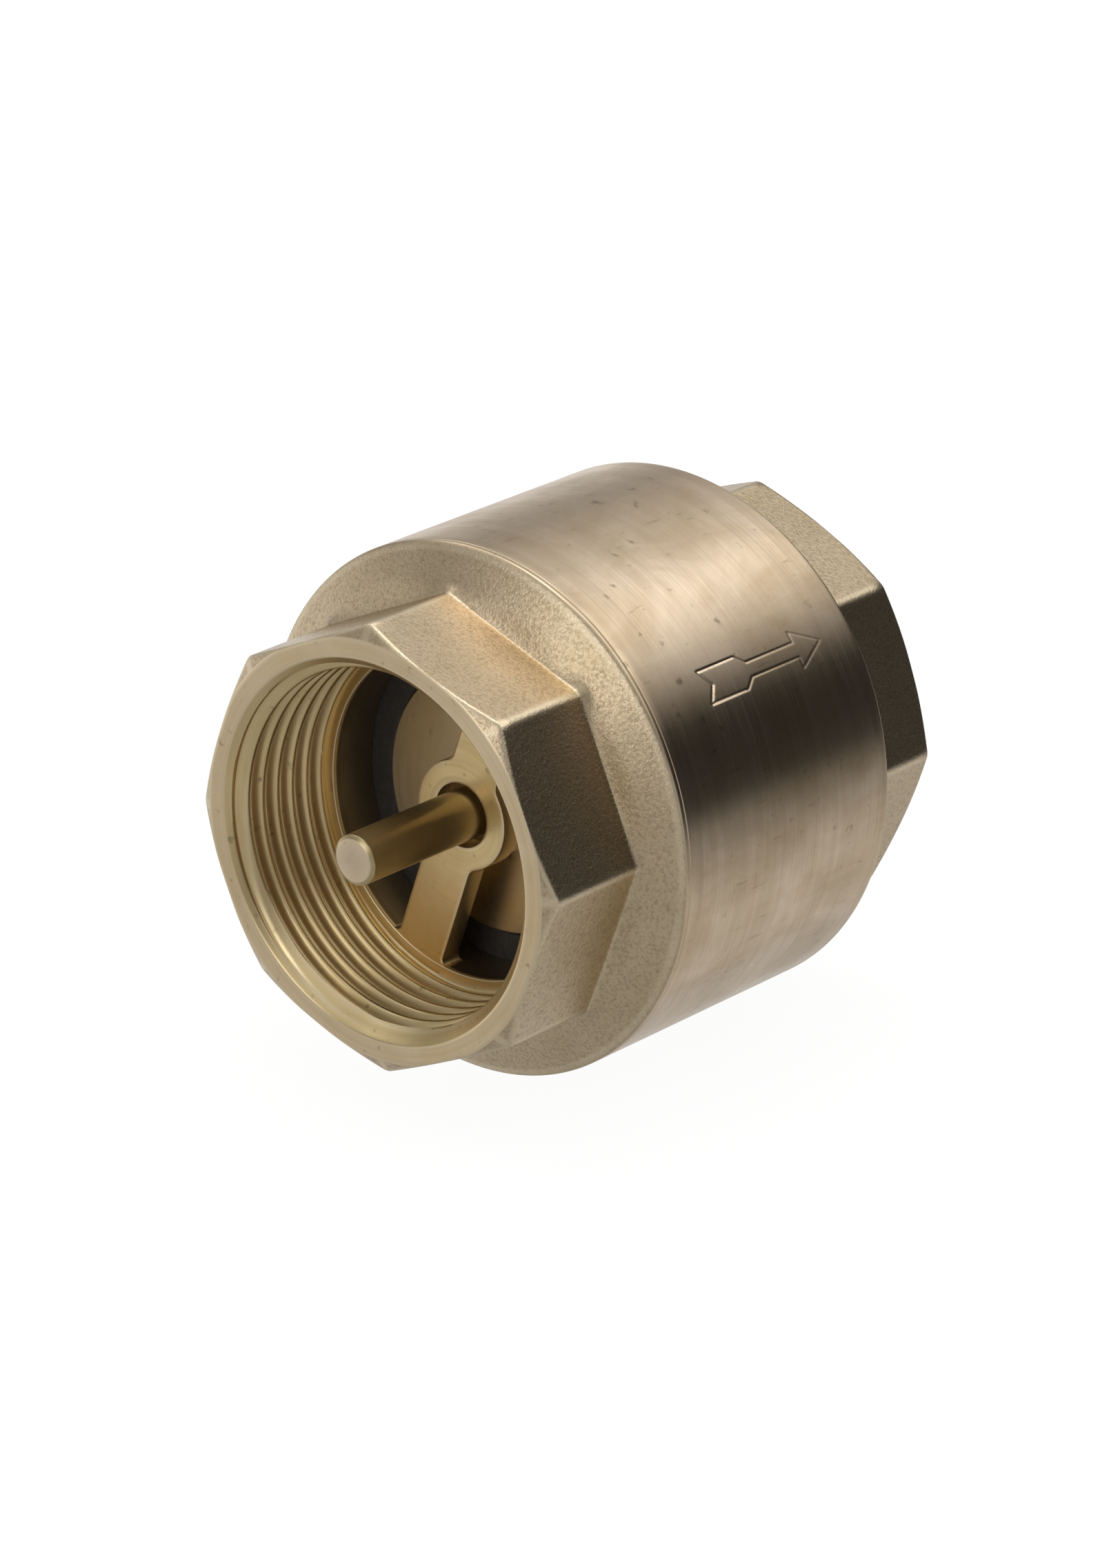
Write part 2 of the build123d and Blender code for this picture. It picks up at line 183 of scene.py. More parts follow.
class Rings:
    """A closed skin made of rings round the X axis, one after another along an outline."""

    def __init__(self, t):
        self.t, self.rings, self.slots, self.edge = t, [], [], []

    def add(self, x, r, slot, edge=0.0):
        """One ring; slot is the material of the band that starts here."""
        n = len(self.t)
        x, r, edge = (np.broadcast_to(np.asarray(v, float), (n,)) for v in (x, r, edge))
        self.rings.append(np.stack([x, r * np.cos(self.t), r * np.sin(self.t)], 1))
        self.slots.append(slot)
        self.edge.append(edge)

    def turn(self, outline, slot, radius, edge):
        """Rings of a turned outline; the rounded corners get the pale edge value, partly wear and
        partly a painted highlight.
        """
        points = rounded(outline, radius)
        for i, (x, r) in enumerate(points):
            inner = 0 < i < len(points) - 1
            self.add(x, r, slot, edge if inner else 0.0)

    def shell(self, closed=True):
        """(vertices, faces, slots, edge values) of the skin; an open one gets its ends capped."""
        n, m = len(self.t), len(self.rings)
        verts = np.concatenate(self.rings)
        edge = np.concatenate(self.edge)
        j = np.arange(n)
        k = (j + 1) % n
        faces, slots = [], []
        for i in range(m if closed else m - 1):
            a, b = i * n, ((i + 1) % m) * n
            faces += np.stack([a + j, a + k, b + k, b + j], 1).tolist()
            slots += [self.slots[i]] * n
        if not closed:
            for ring, flip in ((0, False), (m - 1, True)):
                middle = len(verts)
                x = self.rings[ring][0, 0]
                verts = np.concatenate([verts, [[x, 0.0, 0.0]]])
                edge = np.concatenate([edge, [0.0]])
                base = ring * n
                fan = [(base + a, base + b, middle) for a, b in zip(j.tolist(), k.tolist())]
                faces += [f if flip else f[::-1] for f in fan]
                slots += [self.slots[ring]] * n
        return verts, faces, slots, edge


def make_piece(name, shells, materials, body, replaces):
    """One object from one or more closed skins."""
    verts, faces, slots, edge, start = [], [], [], [], 0
    for v, f, s, e in shells:
        verts.append(v)
        faces += [[i + start for i in face] for face in f]
        slots += s
        edge.append(e)
        start += len(v)
    mesh = bpy.data.meshes.new(name)
    mesh.from_pydata((np.concatenate(verts) * MM).tolist(), [], faces)
    for material in materials:
        mesh.materials.append(material)
    mesh.polygons.foreach_set("material_index", slots)
    mesh.polygons.foreach_set("use_smooth", [True] * len(mesh.polygons))
    # pale edge value per point: partly wear, partly a painted highlight
    wear_and_highlight = mesh.attributes.new("wear_and_highlight", "FLOAT", "POINT")
    wear_and_highlight.data.foreach_set("value", np.concatenate(edge).astype(np.float32))
    mesh.update()
    mesh.set_sharp_from_angle(angle=SHARP_ANGLE)
    piece = bpy.data.objects.new(name, mesh)
    bpy.context.scene.collection.objects.link(piece)
    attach(piece, body)
    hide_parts(replaces)
    return piece


# ======== node materials ========

class Nodes:
    """Short calls for building a node tree."""

    def __init__(self, name):
        self.material = bpy.data.materials.new(name)
        self.material.use_nodes = True
        self.tree = self.material.node_tree
        self.tree.nodes.clear()
        self.out = self.new("OutputMaterial")
        self.skin = self.new("BsdfPrincipled")
        self.link(self.skin.outputs[0], self.out.inputs[0])
        self.place = self.new("TexCoord").outputs["Object"]

    def new(self, kind, **settings):
        node = self.tree.nodes.new("ShaderNode" + kind)
        for key, value in settings.items():
            setattr(node, key, value)
        return node

    def link(self, a, b):
        self.tree.links.new(a, b)

    def feed(self, socket, value):
        if isinstance(value, bpy.types.NodeSocket):
            self.link(value, socket)
        else:
            socket.default_value = value

    def math(self, what, a, b=0.0):
        node = self.new("Math", operation=what)
        for socket, value in zip(node.inputs, (a, b)):
            self.feed(socket, value)
        return node.outputs[0]

    def scaled(self, x, y, z):
        """Object position in millimetres times a factor on each axis."""
        node = self.new("Mapping")
        self.link(self.place, node.inputs[0])
        node.inputs["Scale"].default_value = (x * 1000, y * 1000, z * 1000)
        return node.outputs[0]

    def noise(self, vector, detail, rough=0.55, warp=0.0):
        node = self.new("TexNoise")
        self.link(vector, node.inputs["Vector"])
        node.inputs["Scale"].default_value = 1.0
        node.inputs["Detail"].default_value = detail
        node.inputs["Roughness"].default_value = rough
        node.inputs["Distortion"].default_value = warp
        return node.outputs["Fac"]

    def ramp(self, value, *stops):
        """Colour ramp from (position, grey or colour) stops."""
        node = self.new("ValToRGB")
        self.feed(node.inputs[0], value)
        marks = node.color_ramp.elements
        while len(marks) < len(stops):
            marks.new(0.5)
        for mark, (at, colour) in zip(marks, stops):
            colour = (colour,) * 3 if isinstance(colour, (int, float)) else colour
            mark.position, mark.color = at, (*colour, 1)
        return node.outputs[0]

    def mix(self, share, a, b):
        node = self.new("Mix", data_type="RGBA")
        self.feed(node.inputs[0], share)
        for socket, value in ((node.inputs[6], a), (node.inputs[7], b)):
            self.feed(socket, (*value, 1) if isinstance(value, tuple) else value)
        return node.outputs[2]

    def bump(self, height, depth_mm, below=None):
        node = self.new("Bump")
        node.inputs["Strength"].default_value = 1.0
        node.inputs["Distance"].default_value = depth_mm * MM
        self.link(height, node.inputs["Height"])
        if below is not None:
            self.link(below, node.inputs["Normal"])
        return node.outputs[0]

    def wear_and_highlight(self):
        return self.new("Attribute", attribute_name="wear_and_highlight").outputs["Fac"]

    def finish(self, colour, rough, normal, **values):
        self.feed(self.skin.inputs["Base Color"], colour)
        self.feed(self.skin.inputs["Roughness"], rough)
        self.link(normal, self.skin.inputs["Normal"])
        for key, value in values.items():
            self.feed(self.skin.inputs[key.replace("_", " ")], value)
        return self.material


def along_and_radius(n):
    """Place along the flow axis and distance from it, in millimetres, and the place's parts."""
    split = n.new("SeparateXYZ")
    n.link(n.place, split.inputs[0])
    x, y, z = split.outputs
    square = n.math("ADD", n.math("POWER", y, 2.0), n.math("POWER", z, 2.0))
    radius = n.math("MULTIPLY", n.math("SQRT", square), 1000.0)
    return n.math("MULTIPLY", x, 1000.0), radius, y, z


def blasted_brass():
    """Grit-blasted forging: matt, grainy, with pale edges that are partly wear and partly a painted
    highlight.
    """
    n = Nodes("blasted_brass")
    tone = n.noise(n.scaled(0.055, 0.055, 0.055), 4)
    patch = n.noise(n.scaled(0.16, 0.16, 0.16), 5, 0.6)
    grain = n.noise(n.scaled(2.4, 2.4, 2.4), 4, 0.72)
    pits = n.noise(n.scaled(4.6, 4.6, 4.6), 2, 0.6)
    colour = n.mix(n.ramp(tone, (0.35, 0.0), (0.65, 1.0)), (0.64, 0.52, 0.35), (0.68, 0.54, 0.375))
    colour = n.mix(n.ramp(patch, (0.42, 0.0), (0.7, 0.55)), colour, (0.57, 0.45, 0.28))
    colour = n.mix(n.ramp(grain, (0.30, 0.62), (0.54, 0.0)), colour, (0.26, 0.20, 0.12))
    # pale edges: partly rubbed wear, partly a painted highlight
    scuff_and_highlight = n.math("MULTIPLY", n.wear_and_highlight(), n.ramp(patch, (0.3, 1.0), (0.75, 0.45)))
    colour = n.mix(scuff_and_highlight, colour, (0.90, 0.77, 0.56))
    rough = n.ramp(grain, (0.3, 0.33), (0.7, 0.21))
    rough = n.mix(scuff_and_highlight, rough, (0.30, 0.30, 0.30))
    normal = n.bump(pits, 0.022, n.bump(grain, 0.048))
    return n.finish(colour, rough, normal, Metallic=1.0)


def shade(colour, share):
    return tuple(c * share for c in colour)


def turned_brass(name, pale, deep, line_mm, rough, across=False, scuffed=0.0,
                 edge_colour=(0.82, 0.70, 0.49)):
    """Machined brass with the tool's fine rings: along X on cylinders, across on flat faces."""
    n = Nodes(name)
    x, radius, y, z = along_and_radius(n)
    along = n.new("CombineXYZ")
    n.feed(along.inputs[0], n.math("MULTIPLY", radius if across else x, 1.0 / line_mm))
    n.feed(along.inputs[1], n.math("MULTIPLY", y, 55.0))
    n.feed(along.inputs[2], n.math("MULTIPLY", z, 55.0))
    lines = n.noise(along.outputs[0], 3, 0.65)
    broad = n.noise(n.scaled(0.5, 0.03, 0.03), 3)
    stain = n.noise(n.scaled(0.085, 0.11, 0.11), 5, 0.62, 0.4)
    speck = n.noise(n.scaled(0.62, 0.62, 0.62), 2, 0.5)
    colour = n.mix(n.ramp(stain, (0.36, 0.0), (0.66, 1.0)), pale, deep)
    colour = n.mix(n.ramp(broad, (0.35, 0.0), (0.75, 0.35)), colour, shade(deep, 0.72))
    colour = n.mix(n.ramp(lines, (0.25, 0.22), (0.62, 0.0)), colour, shade(deep, 0.45))
    colour = n.mix(n.ramp(speck, (0.67, 0.0), (0.78, 0.55)), colour, (0.12, 0.10, 0.05))
    if scuffed:
        knock = n.noise(n.scaled(0.30, 1.7, 1.7), 1)
        where = n.ramp(stain, (0.45, 0.0), (0.55, 1.0))
        rubbed = n.math("MULTIPLY", n.ramp(knock, (0.69, 0.0), (0.75, scuffed)), where)
        colour = n.mix(rubbed, colour, shade(deep, 0.5))
    # edges turn pale: partly wear, partly a painted highlight
    colour = n.mix(n.wear_and_highlight(), colour, edge_colour)
    sheen = n.ramp(lines, (0.3, rough + 0.06), (0.7, rough - 0.04))
    sheen = n.mix(n.ramp(stain, (0.4, 0.0), (0.7, 0.4)), sheen, (rough + 0.10,) * 3)
    tangent = n.new("Tangent", direction_type="RADIAL", axis="X")
    n.link(tangent.outputs[0], n.skin.inputs["Tangent"])
    return n.finish(colour, sheen, n.bump(lines, 0.0035), Metallic=1.0, Anisotropic=0.5,
                    Anisotropic_Rotation=0.25)


def black_rubber():
    """Moulded nitrile: near black, soft sheen, faint mould rings."""
    n = Nodes("black_rubber_skin")
    rings = n.new("CombineXYZ")
    n.feed(rings.inputs[0], n.math("MULTIPLY", along_and_radius(n)[1], 2.2))
    mould = n.noise(rings.outputs[0], 2)
    dust = n.noise(n.scaled(1.5, 1.5, 1.5), 4, 0.7)
    dusty = n.ramp(dust, (0.45, 0.0), (0.8, 0.6))
    colour = n.mix(dusty, (0.040, 0.036, 0.034), (0.085, 0.076, 0.068))
    rough = n.ramp(dust, (0.3, 0.42), (0.75, 0.62))
    return n.finish(colour, rough, n.bump(mould, 0.03, n.bump(dust, 0.01)))


def spring_steel():
    """Drawn stainless wire with die lines and a faint straw tint."""
    n = Nodes("spring_steel")
    die = n.noise(n.scaled(0.8, 6.0, 6.0), 3)
    tint = n.noise(n.scaled(0.2, 0.2, 0.2), 2)
    colour = n.mix(n.ramp(tint, (0.4, 0.0), (0.7, 1.0)), (0.56, 0.55, 0.53), (0.50, 0.46, 0.39))
    return n.finish(colour, n.ramp(die, (0.3, 0.34), (0.7, 0.22)), n.bump(die, 0.006), Metallic=1.0)


# ======== the two brass halves ========

# material slots; the fifth is a dark copy of the brass, painted shade for the hollows inside the
# valve
FORGED, BARREL, FACE, BORED, SHADED_INSIDE, WEB = range(6)


def outer_radius(x, t, corner):
    """Outside of a wrench end at a station of the inlet: octagon, turned face, shoulder."""
    side, near_corner = octagon_radius(t, corner)
    face = FACE_OUTLINE_R + (x + HALF_LENGTH) * FACE_SLOPE
    r, near_face = soft_min(side, face, FACE_BLEND)
    share = (x - SHOULDER_X) / (INLET_RIM_X - SHOULDER_X)
    fade = np.clip(share * 2.5, 0, 1)  # octagon to circle over the first 2/5 of the shoulder
    base = side + (SHOULDER_BASE_R - side) * fade * fade * (3 - 2 * fade)
    shoulder = base + (BARREL_R - base) * share
    r, near_shoulder = soft_max(r, shoulder, SHOULDER_BLEND)
    on_side = np.clip((side - shoulder) / 0.6, 0, 1)
    # pale edge value on the corners, the face edge and the shoulder crease: partly wear, partly a
    # painted highlight
    edge_wear_and_highlight = np.maximum(0.75 * near_corner * on_side, 0.8 * near_face)
    # the shoulder's rim is pale all round: partly wear, partly a painted highlight
    rim = np.clip((x - RIM_WEAR_AND_HIGHLIGHT_X) / 0.3, 0, 0.55)
    return r, np.maximum(np.maximum(edge_wear_and_highlight, rim), 0.3 * near_shoulder)


def wrench_stations():
    """Stations from the end face to the barrel, close together where the shape turns."""
    face_done, shoulder_near = -30.9, -20.4
    return (spread(FACE_EDGE_X, face_done, 0.12) + spread(face_done, shoulder_near, 1.5)
            + spread(shoulder_near, SHOULDER_EDGE_X, 0.17) + [SHOULDER_EDGE_X])


def thread_radius(x, t, crest_r):
    """Inside radius of a right-handed female thread, written for the inlet end."""
    phase = (x / PITCH - t / (2 * math.pi)) % 1.0
    ridge = np.abs(phase - 0.5) * 2  # 0 at the root, 1 at the crest, flat over a tenth at both
    flank = 0.5 + 0.5 * np.cos(math.pi * np.clip((ridge - 0.10) / 0.80, 0, 1))
    depth = (THREAD_ROOT_R - crest_r) * flank
    r = crest_r + depth * np.clip((THREAD_END_X - x) / THREAD_RUN_OUT, 0, 1)
    mouth = MOUTH_R - (x + HALF_LENGTH)  # chamfer at 45 degrees
    r, near = soft_max(r, mouth, MOUTH_BLEND)
    # pale thread crests and mouth chamfer: partly wear, partly a painted highlight
    crest = np.clip((ridge - 0.80) / 0.15, 0, 1)
    past_face = x > -HALF_LENGTH + 0.1
    return r, np.maximum(0.55 * crest, 0.6 * near * past_face)


def outlet_place(x):
    """Where the outlet has the inlet's station x: mirrored, with its shoulder further out."""
    share = (x - SHIFT_FROM_X) / (SHIFT_TO_X - SHIFT_FROM_X)
    return -x + (OUTLET_RIM_X + INLET_RIM_X) * max(0.0, min(1.0, share))


def add_end(skin, corner, outlet):
    """Rings over a wrench end: from the face to the barrel at the inlet, and back at the outlet."""
    stations = wrench_stations()
    for x in reversed(stations) if outlet else stations:
        r, edge_wear_and_highlight = outer_radius(x, skin.t, corner)
        skin.add(outlet_place(x) if outlet else x, r, FORGED, edge_wear_and_highlight)


def add_face(skin, corner, outlet):
    """Flat end face: from the outline to the mouth at the outlet, and back at the inlet."""
    outer = outer_radius(FACE_EDGE_X, skin.t, corner)[0] - FACE_EDGE
    # the face's outer edge and mouth edge turn pale: partly wear, partly a painted highlight
    rings = [(outer, 0.8), (outer - 0.35, 0.15), ((outer + MOUTH_R) / 2, 0.0),
             (MOUTH_R + 0.3, 0.15), (MOUTH_R + 0.08, 0.7)]
    for r, edge_wear_and_highlight in rings if outlet else reversed(rings):
        skin.add(HALF_LENGTH if outlet else -HALF_LENGTH, r, FACE, edge_wear_and_highlight)


def add_thread(skin, outlet):
    """Threaded bore: towards the middle at the outlet, towards the mouth at the inlet."""
    mouth_from, mouth_done = -31.96, -31.0
    stations = spread(mouth_from, mouth_done, 0.12) + spread(mouth_done, THREAD_END_X, 0.125)
    stations.append(THREAD_END_X)
    crest_r, t = (OUTLET_CREST_R, -skin.t) if outlet else (INLET_CREST_R, skin.t)
    for x in stations if outlet else reversed(stations):
        r, edge_wear_and_highlight = thread_radius(x, t, crest_r)
        skin.add(-x if outlet else x, r, BORED, edge_wear_and_highlight)


def add_joint_thread(skin, stations, root_r):
    """The thread that joins the two halves: flat crests, straight flanks, flat roots."""
    for x in stations:
        phase = (x / JOINT_PITCH - skin.t / (2 * math.pi)) % 1.0
        ridge = np.clip(1.35 - np.abs(phase - 0.5) * 3.4, 0, 1)
        # the joint thread takes the dark brass that is painted shade
        skin.add(x, root_r + JOINT_DEPTH * ridge, SHADED_INSIDE)


def arrow_depth(x, t):
    """Depth of the engraved arrow outline at points of the barrel, and how near its lip they are."""
    u, v = x, BARREL_R * (t - ARROW_T)
    near = np.full_like(t, np.inf)
    for (ax, ay), (bx, by) in zip(ARROW, ARROW[1:] + ARROW[:1]):
        dx, dy = bx - ax, by - ay
        s = np.clip(((u - ax) * dx + (v - ay) * dy) / (dx * dx + dy * dy), 0, 1)
        near = np.minimum(near, np.hypot(u - ax - s * dx, v - ay - s * dy))
    s = np.clip(1 - near / GROOVE_HALF, 0, 1)
    left = np.interp(x, *zip(*ARROW_LEFT))
    # the arrow's lips turn pale: partly wear, partly a painted highlight
    lip = np.clip(1 - np.abs(near - GROOVE_HALF) / LIP, 0, 1)
    return left * GROOVE_DEPTH * s * s * (3 - 2 * s), left * lip


def arm_outline(wall_r, flare):
    """Outline of two arms and a hub, anticlockwise, with the arms along the first axis."""
    f, h = ARM_FILLET, ARM_HALF
    hub_c = (math.sqrt((HUB_R + f) ** 2 - (h + f) ** 2), h + f)
    wall_c = (math.sqrt((wall_r - flare) ** 2 - (h + flare) ** 2), h + flare)
    quarter = []
    end = math.atan2(wall_c[1], wall_c[0])
    for a in np.linspace(0, end, 7):
        quarter.append(((wall_r + ROOT_DEPTH) * math.cos(a), (wall_r + ROOT_DEPTH) * math.sin(a)))
    for a in np.linspace(end, -math.pi / 2, 9):
        quarter.append((wall_c[0] + flare * math.cos(a), wall_c[1] + flare * math.sin(a)))
    for s in (0.25, 0.5, 0.75):
        quarter.append((wall_c[0] + (hub_c[0] - wall_c[0]) * s, h))
    start = math.atan2(hub_c[1], hub_c[0])
    for a in np.linspace(-math.pi / 2, start - math.pi, 7):
        quarter.append((hub_c[0] + f * math.cos(a), hub_c[1] + f * math.sin(a)))
    for a in np.linspace(start, math.pi / 2, 10)[1:]:
        quarter.append((HUB_R * math.cos(a), HUB_R * math.sin(a)))
    q = np.array(quarter)
    half = np.concatenate([q, (q[:-1] * [-1, 1])[::-1]])
    return np.concatenate([half[:-1], -half[:-1]])


def bridge_shell(turn, span, wall_r, hole_r):
    """Closed skin of a guide bridge with softened front and back edges."""
    x0, x1 = span
    line = arm_outline(wall_r, WALL_FLARE)
    along = np.roll(line, -1, 0) - np.roll(line, 1, 0)
    inward = np.stack([-along[:, 1], along[:, 0]], 1) / np.linalg.norm(along, axis=1)[:, None]
    to_wall = wall_r - np.linalg.norm(line, axis=1)
    inward *= np.clip(to_wall / WALL_FLARE, LEAST_INSET, 1)[:, None]
    round_t = np.linspace(0, 2 * math.pi, HOLE_SIDES, endpoint=False)
    hole = np.stack([np.cos(round_t), np.sin(round_t)], 1)
    # the softened edge as (inset, distance from the face, pale edge value of wear and painted
    # highlight), the first two in edge widths
    profile = [(2.2, 0.0, 0.0), (1.0, 0.0, 0.5), (0.3, 0.3, 0.6), (0.0, 1.0, 0.2)]
    stations = [(x0 + down * SOFT_EDGE, inset, wear_and_highlight) for inset, down, wear_and_highlight in profile]
    stations += [(x1 - down * SOFT_EDGE, inset, wear_and_highlight) for inset, down, wear_and_highlight in reversed(profile)]
    c, s = math.cos(turn), math.sin(turn)
    verts, edge, faces = [], [], []

    def side(points, outward, flip):
        """Rings of one side from front to back; gives the first and last ring's indices."""
        base, n = sum(len(v) for v in verts), len(points)
        for x, inset, wear_and_highlight in stations:
            u, v = (points + outward * inset * SOFT_EDGE).T
            verts.append(np.stack([np.full(n, x), u * c - v * s, u * s + v * c], 1))
            edge.append(np.full(n, wear_and_highlight))
        for i in range(len(stations) - 1):
            a, b = base + i * n, base + (i + 1) * n
            for j in range(n):
                k = (j + 1) % n
                quad = (a + j, a + k, b + k, b + j)
                faces.append(quad[::-1] if flip else quad)
        last = base + (len(stations) - 1) * n
        return list(range(base, base + n)), list(range(last, last + n))

    outer, inner = side(line, inward, False), side(hole * hole_r, hole, True)
    for end in (0, 1):
        rim, bore = outer[end] + outer[end][:1], inner[end] + inner[end][:1]
        for part in (0, 1):
            m, n = len(line) // 2, HOLE_SIDES // 2
            half = rim[part * m:(part + 1) * m + 1] + bore[part * n:(part + 1) * n + 1][::-1]
            faces.append(tuple(half if end else half[::-1]))
    return np.concatenate(verts), faces, [WEB] * len(faces), np.concatenate(edge)


def make_inlet_cap(materials):
    skin = Rings(angles(INLET_CORNER))
    add_end(skin, INLET_CORNER, False)
    skin.turn(CAP_SEAM, BARREL, 0.04, 0.15)
    add_joint_thread(skin, spread(*CAP_THREAD_SPAN, JOINT_STEP), CAP_THREAD_R)
    # the inside of the cap takes the dark brass that is painted shade
    skin.turn(CAP_INSIDE, SHADED_INSIDE, 0.12, 0.3)
    skin.turn(CAP_LEDGE, WEB, 0.15, 0.7)
    add_thread(skin, False)
    add_face(skin, INLET_CORNER, False)
    shells = [skin.shell(), bridge_shell(INLET_ARM, INLET_BRIDGE_X, BORE_R, INLET_HUB_BORE_R)]
    make_piece("inlet_cap_body", shells, materials, "body", "inlet_cap")


def make_main_body(materials):
    skin = Rings(angles(OUTLET_CORNER, (ARROW_T - ARROW_SECTOR, ARROW_T + ARROW_SECTOR)))
    skin.turn(BARREL_SEAM, BARREL, 0.05, 0.15)
    first, (start, stop), last = -14.0, ENGRAVED_X, BARREL_RIM[0][0]
    for x in spread(first, start, 1.7) + spread(start, stop, 0.15) + spread(stop, last, 1.4):
        depth, lip = arrow_depth(x, skin.t)
        skin.add(x, BARREL_R - depth, BARREL, 0.3 * lip)
    skin.turn(BARREL_RIM, BARREL, 0.2, 0.25)
    add_end(skin, OUTLET_CORNER, True)
    add_face(skin, OUTLET_CORNER, True)
    add_thread(skin, True)
    # the inside of the barrel, its joint thread and its socket take the dark brass that is painted
    # shade
    skin.turn(BARREL_INSIDE, SHADED_INSIDE, 0.3, 0.2)
    add_joint_thread(skin, reversed(spread(*BARREL_THREAD_SPAN, JOINT_STEP)), BARREL_THREAD_R)
    skin.turn(BARREL_SOCKET, SHADED_INSIDE, 0.1, 0.2)
    boss = Rings(np.linspace(0, 2 * math.pi, BOSS_SIDES, endpoint=False))
    boss.turn(OUTLET_BOSS, WEB, 0.2, 0.5)
    web = bridge_shell(OUTLET_ARM, OUTLET_BRIDGE_X, OUTLET_ARM_R, OUTLET_HUB_BORE_R)
    shells = [skin.shell(), web, boss.shell()]
    make_piece("main_body_barrel", shells, materials, "body", "main_body")


# ======== the moving poppet and the spring ========

def lathe(name, outline, materials, replaces, radius):
    """Turned piece of the poppet: an open outline gets its ends capped, a closed one is a ring."""
    skin = Rings(np.linspace(0, 2 * math.pi, LATHE_SIDES, endpoint=False))
    skin.turn(outline, 0, radius, 0.6)
    closed = outline[0] == outline[-1]
    if closed:
        for data in (skin.rings, skin.slots, skin.edge):
            data.pop()
    return make_piece(name, [skin.shell(closed)], materials, "poppet", replaces)


def make_stem(material, cut):
    piece = lathe("stem_rod", STEM, [material, cut], "stem", radius=0.1)
    low, high = STEM_ENDS_X
    for face in piece.data.polygons:
        if not low * MM <= face.center.x <= high * MM:
            face.material_index = 1


def make_spring(material):
    """Closed and ground compression spring from the disc to the outlet arms."""
    front, back = SPRING_FRONT_X + WIRE_R + END_GAP, SPRING_BACK_X - WIRE_R - END_GAP
    total = ACTIVE_TURNS + 2
    turns = np.linspace(0, total, total * COIL_STEPS + 1)
    rise = [front, front + CLOSED_RISE, back - CLOSED_RISE, back]
    x = np.interp(turns, [0, 1, total - 1, total], rise)
    kernel = np.hanning(9) / np.hanning(9).sum()  # eases the change from the closed turns
    x[4:-4] = np.convolve(x, kernel, "valid")
    a = turns * 2 * math.pi
    centre = np.stack([x, COIL_R * np.cos(a), COIL_R * np.sin(a)], 1)
    radial = np.stack([np.zeros_like(a), np.cos(a), np.sin(a)], 1)
    along = np.gradient(centre, axis=0)
    along /= np.linalg.norm(along, axis=1)[:, None]
    up = np.cross(along, radial)
    phi = np.linspace(0, 2 * math.pi, WIRE_SIDES, endpoint=False)[None, :, None]
    rim = np.cos(phi) * radial[:, None] + np.sin(phi) * up[:, None]
    verts = centre[:, None] + WIRE_R * rim
    verts[..., 0] = np.clip(verts[..., 0], SPRING_FRONT_X + GROUND, SPRING_BACK_X - GROUND)
    verts = verts.reshape(-1, 3)
    faces = []
    for i in range(len(a) - 1):
        p, q = i * WIRE_SIDES, (i + 1) * WIRE_SIDES
        for j in range(WIRE_SIDES):
            k = (j + 1) % WIRE_SIDES
            faces.append((p + j, p + k, q + k, q + j))
    faces.append(tuple(range(WIRE_SIDES))[::-1])
    faces.append(tuple((len(a) - 1) * WIRE_SIDES + j for j in range(WIRE_SIDES)))
    shell = verts, faces, [0] * len(faces), np.zeros(len(verts))
    piece = make_piece("spring_coil", [shell], [material], "body", "return_spring")
    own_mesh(piece)


# ======== studio ========

def camera_at(target, azimuth, elevation, distance, lens):
    a, e = math.radians(azimuth), math.radians(elevation)
    back = Vector((math.sin(a) * math.cos(e), -math.cos(a) * math.cos(e), math.sin(e)))
    data = bpy.data.cameras.new("camera")
    data.lens, data.sensor_width = lens, 36
    data.clip_start, data.clip_end = 0.01, 20
    camera = bpy.data.objects.new("camera", data)
    camera.location = Vector(target) + back * distance
    camera.rotation_mode = "QUATERNION"
    camera.rotation_quaternion = (-back).to_track_quat("-Z", "Y")
    bpy.context.scene.collection.objects.link(camera)
    bpy.context.scene.camera = camera


def soft_box(name, place, size, power, colour):
    """Square soft box aimed at the valve."""
    data = bpy.data.lights.new(name, "AREA")
    data.shape, data.size = "SQUARE", size
    data.energy, data.color = power, colour
    light = bpy.data.objects.new(name, data)
    light.location = place
    light.rotation_mode = "QUATERNION"
    light.rotation_quaternion = (-Vector(place)).to_track_quat("-Z", "Y")
    bpy.context.scene.collection.objects.link(light)


def make_floor():
    """Pale floor: near white to the camera, while the brass mirrors the studio's own levels there."""
    glow, shadow_share, reach, gap = 1.06, 0.10, 4.0, 0.2
    mesh = bpy.data.meshes.new("floor")
    z = -(BARREL_R + gap) * MM
    corners = [(-reach, -reach, z), (reach, -reach, z), (reach, reach, z), (-reach, reach, z)]
    mesh.from_pydata(corners, [], [(0, 1, 2, 3)])
    floor = bpy.data.objects.new("floor", mesh)
    bpy.context.scene.collection.objects.link(floor)
    n = Nodes("pale_floor")
    seen = n.new("Emission")
    seen.inputs["Strength"].default_value = glow
    white = n.new("BsdfDiffuse")
    white.inputs["Color"].default_value = (0.8, 0.8, 0.8, 1)
    shown = n.new("MixShader")
    shown.inputs[0].default_value = shadow_share
    n.link(seen.outputs[0], shown.inputs[1])
    n.link(white.outputs[0], shown.inputs[2])
    pick = n.new("MixShader")
    n.link(n.new("LightPath").outputs["Is Camera Ray"], pick.inputs[0])
    n.link(n.new("BsdfTransparent").outputs[0], pick.inputs[1])
    n.link(shown.outputs[0], pick.inputs[2])
    n.link(pick.outputs[0], n.out.inputs[0])
    mesh.materials.append(n.material)


